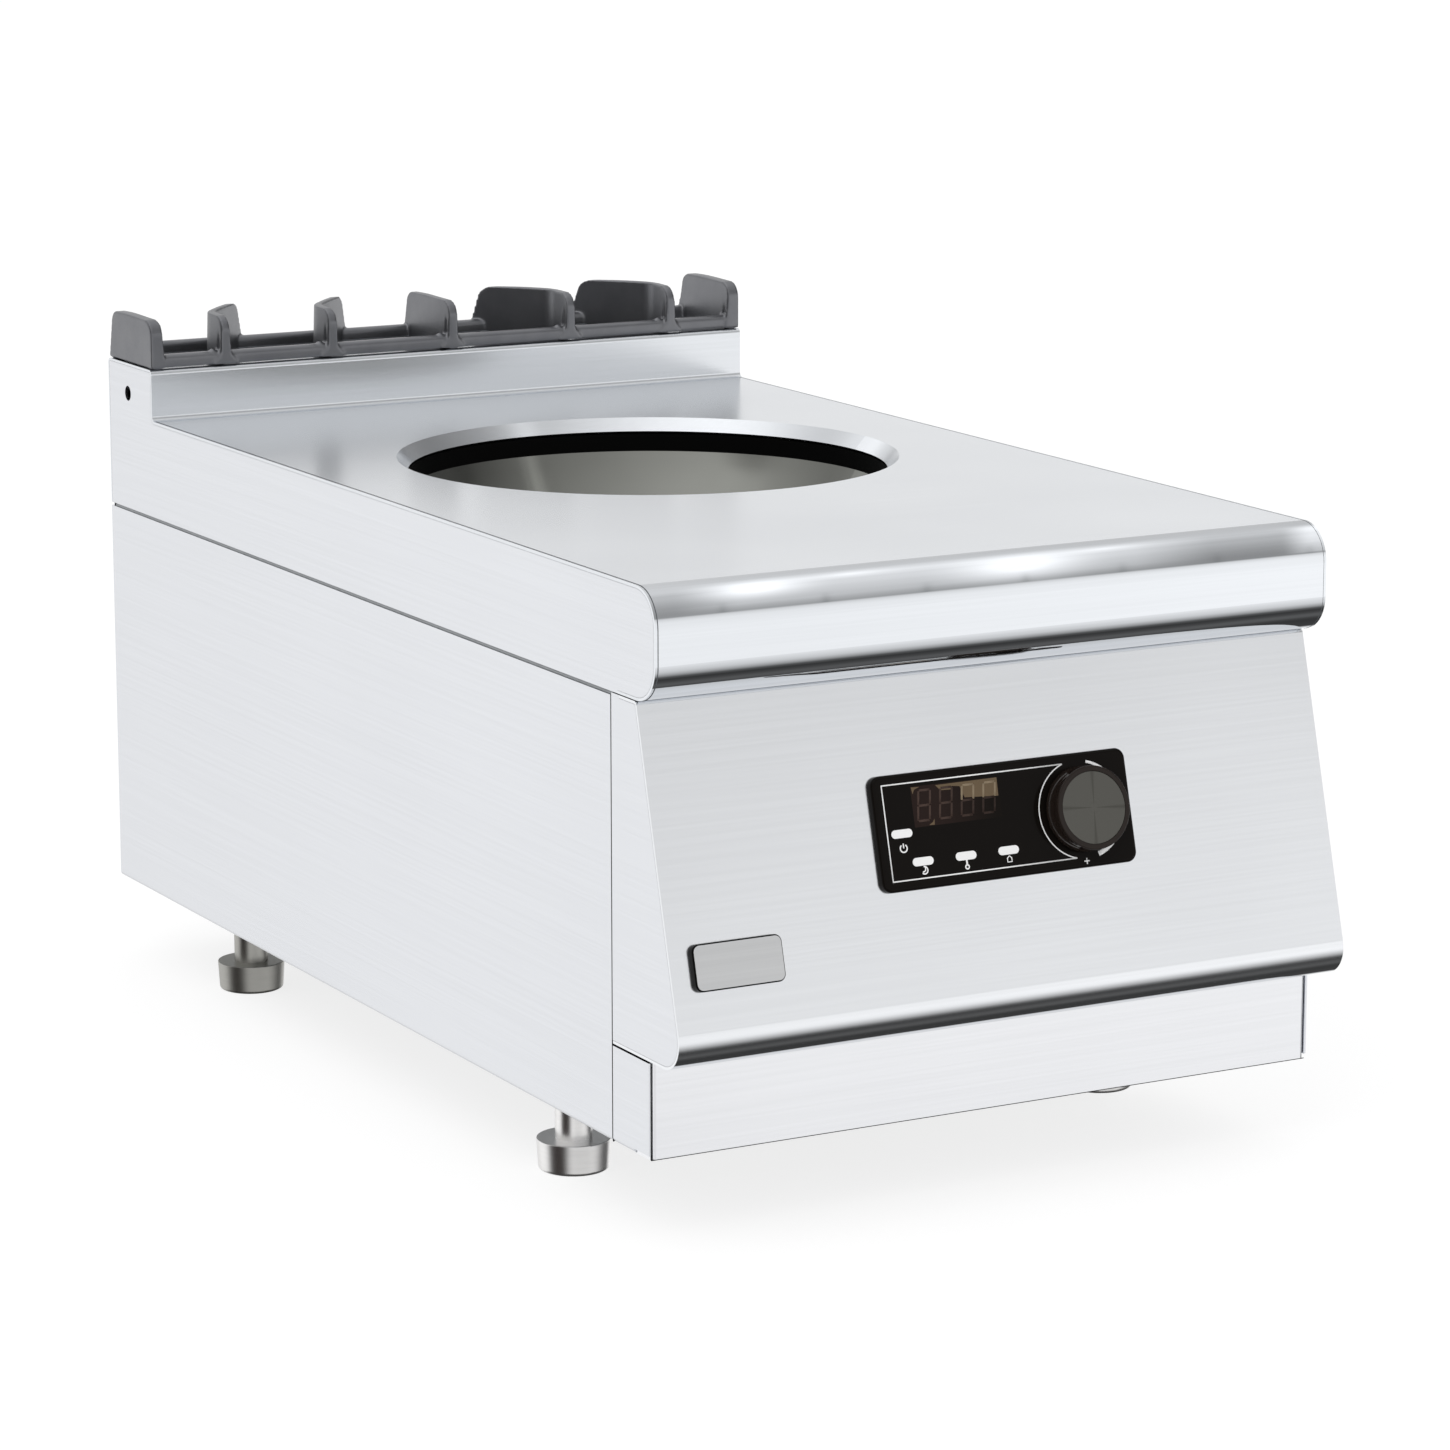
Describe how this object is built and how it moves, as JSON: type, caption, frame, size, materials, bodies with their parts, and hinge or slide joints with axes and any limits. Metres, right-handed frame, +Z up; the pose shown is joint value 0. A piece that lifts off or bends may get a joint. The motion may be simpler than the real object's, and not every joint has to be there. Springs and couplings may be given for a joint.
{
  "type": "induction wok range",
  "caption": "Countertop induction wok range: round glass-ceramic well in a steel worktop, slanted control fascia, cast grate over the rear air outlet, levelling feet.",
  "frame": {"origin": "on the floor, in the middle of the width and of the depth, under the levelling feet", "axes": "+X to the right of a cook who faces the control panel, +Y to the back, +Z up"},
  "size_m": [0.4, 0.73, 0.4003],
  "materials": {
    "stainless": "satin brushed stainless steel sheet, grain along the length of each panel",
    "stainless_inner": "plain mill finish stainless or galvanised steel sheet, hidden",
    "zinc_steel": "zinc plated steel hardware",
    "glass_ceramic": "opaque black glass-ceramic, gloss",
    "seal_rubber": "black silicone, matt",
    "grate_cast": "grey cast metal, fine cast skin with a satin sheen",
    "foot_metal": "turned stainless steel, satin",
    "copper_winding": "lacquered copper litz winding",
    "ferrite": "dark grey sintered ferrite",
    "black_moulding": "black moulded plastic, fine matt texture",
    "grey_moulding": "light grey heat resistant moulding",
    "panel_gloss": "black gloss panel with white print",
    "knob_gloss": "black gloss moulding",
    "spun_metal": "spun metal face, fine rings",
    "lens_white": "milky white light window",
    "circuit_board": "green solder mask over glass-fibre laminate",
    "aluminium": "plain extruded aluminium",
    "badge_metal": "bare satin metal plate with a soft rounded edge",
    "capacitor_can": "drawn aluminium can",
    "brass_part": "nickel plated brass"
  },
  "bodies": {
    "body": {"worktop": "stainless", "worktop_end_left": "stainless", "worktop_end_right": "stainless", "flue_duct": "stainless_inner", "bowl_seal": "seal_rubber", "wok_bowl": "glass_ceramic", "bowl_support_ring": "stainless_inner", "support_posts": "zinc_steel", "support_nuts": "zinc_steel", "induction_coil": "copper_winding", "coil_carrier": "grey_moulding", "ferrite_bars": "ferrite", "temperature_sensor": "grey_moulding", "side_panel_left": "stainless", "side_panel_right": "stainless", "side_rail_left": "stainless_inner", "side_rail_right": "stainless_inner", "rear_panel": "stainless", "rear_panel_screws": "zinc_steel", "base_plate": "stainless_inner", "intake_guard": "zinc_steel", "fan_screws": "zinc_steel", "fan_frame": "black_moulding", "fascia": "stainless", "fascia_cheek_left": "stainless", "fascia_cheek_right": "stainless", "plinth": "stainless", "plinth_return_left": "stainless", "plinth_return_right": "stainless", "control_panel_cover": "panel_gloss", "led_lenses": "lens_white", "display_module": "black_moulding", "control_board": "circuit_board", "control_box": "black_moulding", "encoder_body": "zinc_steel", "badge_plate": "badge_metal", "generator_tray": "stainless_inner", "heat_sink": "aluminium", "power_modules": "black_moulding", "board_spacers": "brass_part", "power_board": "circuit_board", "capacitors": "capacitor_can", "line_choke": "copper_winding", "terminal_block": "grey_moulding", "cable_gland": "black_moulding", "gland_nut": "black_moulding", "gland_locknut": "black_moulding", "earth_stud": "zinc_steel", "foot_sockets": "zinc_steel"},
    "encoder": {"encoder_rotor": "grey_moulding"},
    "knob": {"knob_shaft": "zinc_steel", "knob_body": "knob_gloss", "knob_face": "spun_metal"},
    "fan": {"fan_rotor": "black_moulding"},
    "foot_front_left": {"foot_front_left": "foot_metal"},
    "foot_front_right": {"foot_front_right": "foot_metal"},
    "foot_rear_left": {"foot_rear_left": "foot_metal"},
    "foot_rear_right": {"foot_rear_right": "foot_metal"},
    "grate": {"flue_grate": "grate_cast"}
  },
  "joints": [
    {"name": "knob_turn", "type": "hinge", "parent": "body", "child": "encoder", "pos_m": [0.0465, -0.34166, 0.20385], "axis": [0, -0.9649, 0.2627], "continuous": true},
    {"name": "knob_push", "type": "slide", "parent": "encoder", "child": "knob", "axis": [0, 0.9649, -0.2627], "range_m": [0, 0.0008], "stiffness_N_per_m": 3000, "springref_m": -0.0015},
    {"name": "fan_spin", "type": "hinge", "parent": "body", "child": "fan", "pos_m": [0, -0.11, 0.06], "axis": [0, 0, 1], "continuous": true},
    {"name": "grate_lift", "type": "slide", "parent": "body", "child": "grate", "axis": [0, 0, 1], "range_m": [0, 0.06]},
    {"name": "foot_front_left_level", "type": "slide", "parent": "body", "child": "foot_front_left", "axis": [0, 0, 1], "range_m": [0, 0.02]},
    {"name": "foot_front_right_level", "type": "slide", "parent": "body", "child": "foot_front_right", "axis": [0, 0, 1], "range_m": [0, 0.02]},
    {"name": "foot_rear_left_level", "type": "slide", "parent": "body", "child": "foot_rear_left", "axis": [0, 0, 1], "range_m": [0, 0.02]},
    {"name": "foot_rear_right_level", "type": "slide", "parent": "body", "child": "foot_rear_right", "axis": [0, 0, 1], "range_m": [0, 0.02]}
  ]
}
